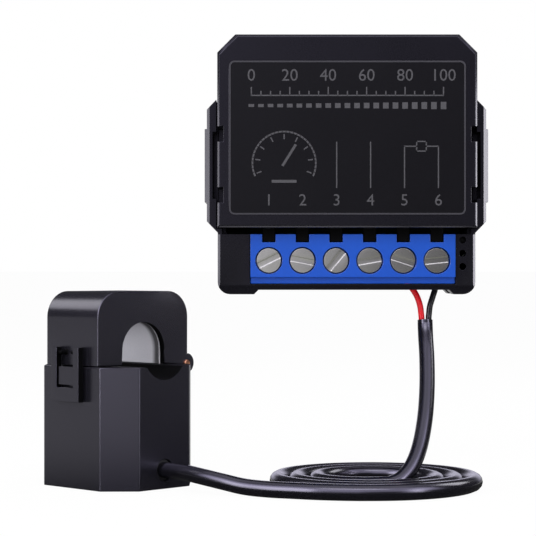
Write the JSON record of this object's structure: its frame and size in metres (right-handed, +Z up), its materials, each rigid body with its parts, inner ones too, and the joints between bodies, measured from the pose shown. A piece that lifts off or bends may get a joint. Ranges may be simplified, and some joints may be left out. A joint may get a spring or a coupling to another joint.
{
  "type": "smart energy monitor",
  "caption": "Boxy energy monitor module with a blue screw terminal row, joined by a coiled lead to a hinged split-core current clamp that closes round a conductor.",
  "frame": {"origin": "centre of the module's flat back face", "axes": "+Y out of the back face towards the panel, +Z up, +X to the right seen from the front"},
  "size_m": [0.0793, 0.0428, 0.08],
  "materials": {
    "housing_plastic": "fine satin moulding, near black",
    "terminal_plastic": "satin blue moulding",
    "screw_steel": "nickel plated, brushed",
    "cage_steel": "zinc plated, yellowish",
    "contact_brass": "tinned brass",
    "board_laminate": "solder mask green",
    "wireless_laminate": "solder mask dark blue",
    "shield_tin": "tinned sheet",
    "ferrite": "dark fired ferrite",
    "winding_tape": "yellow polyester tape",
    "capacitor_sleeve": "dark shrink sleeve",
    "film_box": "yellow box resin",
    "resistor_lacquer": "green lacquer",
    "chip_epoxy": "moulded epoxy",
    "light_lens": "milky lens",
    "clamp_plastic": "satin moulding, near black",
    "pin_copper": "copper plated",
    "core_grey": "ground grey core",
    "spring_steel": "bright spring strip",
    "bobbin_nylon": "natural nylon",
    "winding_copper": "enamelled copper wire",
    "gland_rubber": "soft black",
    "cord_sheath": "glossy black sheath",
    "wire_red_insulation": "glossy red insulation"
  },
  "bodies": {
    "module": {"rear_housing": "housing_plastic", "front_cover": "housing_plastic", "terminal_block": "terminal_plastic", "clamp_base": "clamp_plastic", "base_plate": "clamp_plastic", "hinge_pin": "pin_copper", "main_board": "board_laminate", "contact_strips": "contact_brass", "wireless_board": "wireless_laminate", "wireless_shield": "shield_tin", "transformer_core": "ferrite", "transformer_winding": "winding_tape", "bulk_capacitor": "capacitor_sleeve", "filter_capacitor": "film_box", "fusible_resistor": "resistor_lacquer", "bridge_rectifier": "chip_epoxy", "metering_chip": "chip_epoxy", "small_parts": "chip_epoxy", "reset_switch": "chip_epoxy", "status_light": "light_lens", "lower_core": "core_grey", "bobbin": "bobbin_nylon", "winding": "winding_copper", "cable_gland": "gland_rubber", "cord_from_clamp": "cord_sheath", "cord_coil": "cord_sheath", "cord_riser": "cord_sheath", "wire_red": "wire_red_insulation", "wire_black": "cord_sheath"},
    "screw_1": {"terminal_screw_1": "screw_steel"},
    "cage_1": {"terminal_cage_1": "cage_steel"},
    "screw_2": {"terminal_screw_2": "screw_steel"},
    "cage_2": {"terminal_cage_2": "cage_steel"},
    "screw_3": {"terminal_screw_3": "screw_steel"},
    "cage_3": {"terminal_cage_3": "cage_steel"},
    "screw_4": {"terminal_screw_4": "screw_steel"},
    "cage_4": {"terminal_cage_4": "cage_steel"},
    "screw_5": {"terminal_screw_5": "screw_steel"},
    "cage_5": {"terminal_cage_5": "cage_steel"},
    "screw_6": {"terminal_screw_6": "screw_steel"},
    "cage_6": {"terminal_cage_6": "cage_steel"},
    "jaw": {"clamp_jaw": "clamp_plastic", "upper_core": "core_grey", "core_spring": "spring_steel"},
    "latch": {"latch_loop": "clamp_plastic"},
    "plunger": {"reset_plunger": "housing_plastic"}
  },
  "joints": [
    {"name": "screw_1_turn", "type": "hinge", "parent": "module", "child": "screw_1", "pos_m": [-0.0139, -0.015, -0.017], "axis": [0, 1, 0], "range_deg": [0, 1441]},
    {"name": "cage_1_slide", "type": "slide", "parent": "module", "child": "cage_1", "axis": [0, -1, 0], "range_m": [0, 0.0018]},
    {"name": "screw_2_turn", "type": "hinge", "parent": "module", "child": "screw_2", "pos_m": [-0.0079, -0.015, -0.017], "axis": [0, 1, 0], "range_deg": [0, 1441]},
    {"name": "cage_2_slide", "type": "slide", "parent": "module", "child": "cage_2", "axis": [0, -1, 0], "range_m": [0, 0.0018]},
    {"name": "screw_3_turn", "type": "hinge", "parent": "module", "child": "screw_3", "pos_m": [-0.0019, -0.015, -0.017], "axis": [0, 1, 0], "range_deg": [0, 1441]},
    {"name": "cage_3_slide", "type": "slide", "parent": "module", "child": "cage_3", "axis": [0, -1, 0], "range_m": [0, 0.0018]},
    {"name": "screw_4_turn", "type": "hinge", "parent": "module", "child": "screw_4", "pos_m": [0.0041, -0.015, -0.017], "axis": [0, 1, 0], "range_deg": [0, 1441]},
    {"name": "cage_4_slide", "type": "slide", "parent": "module", "child": "cage_4", "axis": [0, -1, 0], "range_m": [0, 0.0018]},
    {"name": "screw_5_turn", "type": "hinge", "parent": "module", "child": "screw_5", "pos_m": [0.0101, -0.015, -0.017], "axis": [0, 1, 0], "range_deg": [-1081, 0]},
    {"name": "cage_5_slide", "type": "slide", "parent": "module", "child": "cage_5", "axis": [0, -1, 0], "range_m": [-0.00135, 0]},
    {"name": "screw_6_turn", "type": "hinge", "parent": "module", "child": "screw_6", "pos_m": [0.0161, -0.015, -0.017], "axis": [0, 1, 0], "range_deg": [-1081, 0]},
    {"name": "cage_6_slide", "type": "slide", "parent": "module", "child": "cage_6", "axis": [0, -1, 0], "range_m": [-0.00135, 0]},
    {"name": "jaw_hinge", "type": "hinge", "parent": "module", "child": "jaw", "pos_m": [-0.03368, -0.00792, -0.03545], "axis": [-0.7193, 0.6947, 0], "range_deg": [0, 65], "deforming": ["latch_loop"]},
    {"name": "latch_release", "type": "hinge", "parent": "jaw", "child": "latch", "pos_m": [-0.04906, -0.02385, -0.03305], "axis": [-0.7193, 0.6947, 0], "range_deg": [0, 14], "stiffness_Nm_per_rad": 0.004},
    {"name": "reset_press", "type": "slide", "parent": "module", "child": "plunger", "axis": [0, 1, 0], "range_m": [0, 0.0004], "stiffness_N_per_m": 200}
  ],
  "couplings": [
    {"joint": "screw_1_turn", "follows": "cage_1_slide", "rad_per_m": 13963},
    {"joint": "screw_2_turn", "follows": "cage_2_slide", "rad_per_m": 13963},
    {"joint": "screw_3_turn", "follows": "cage_3_slide", "rad_per_m": 13963},
    {"joint": "screw_4_turn", "follows": "cage_4_slide", "rad_per_m": 13963},
    {"joint": "screw_5_turn", "follows": "cage_5_slide", "rad_per_m": 13963},
    {"joint": "screw_6_turn", "follows": "cage_6_slide", "rad_per_m": 13963}
  ]
}
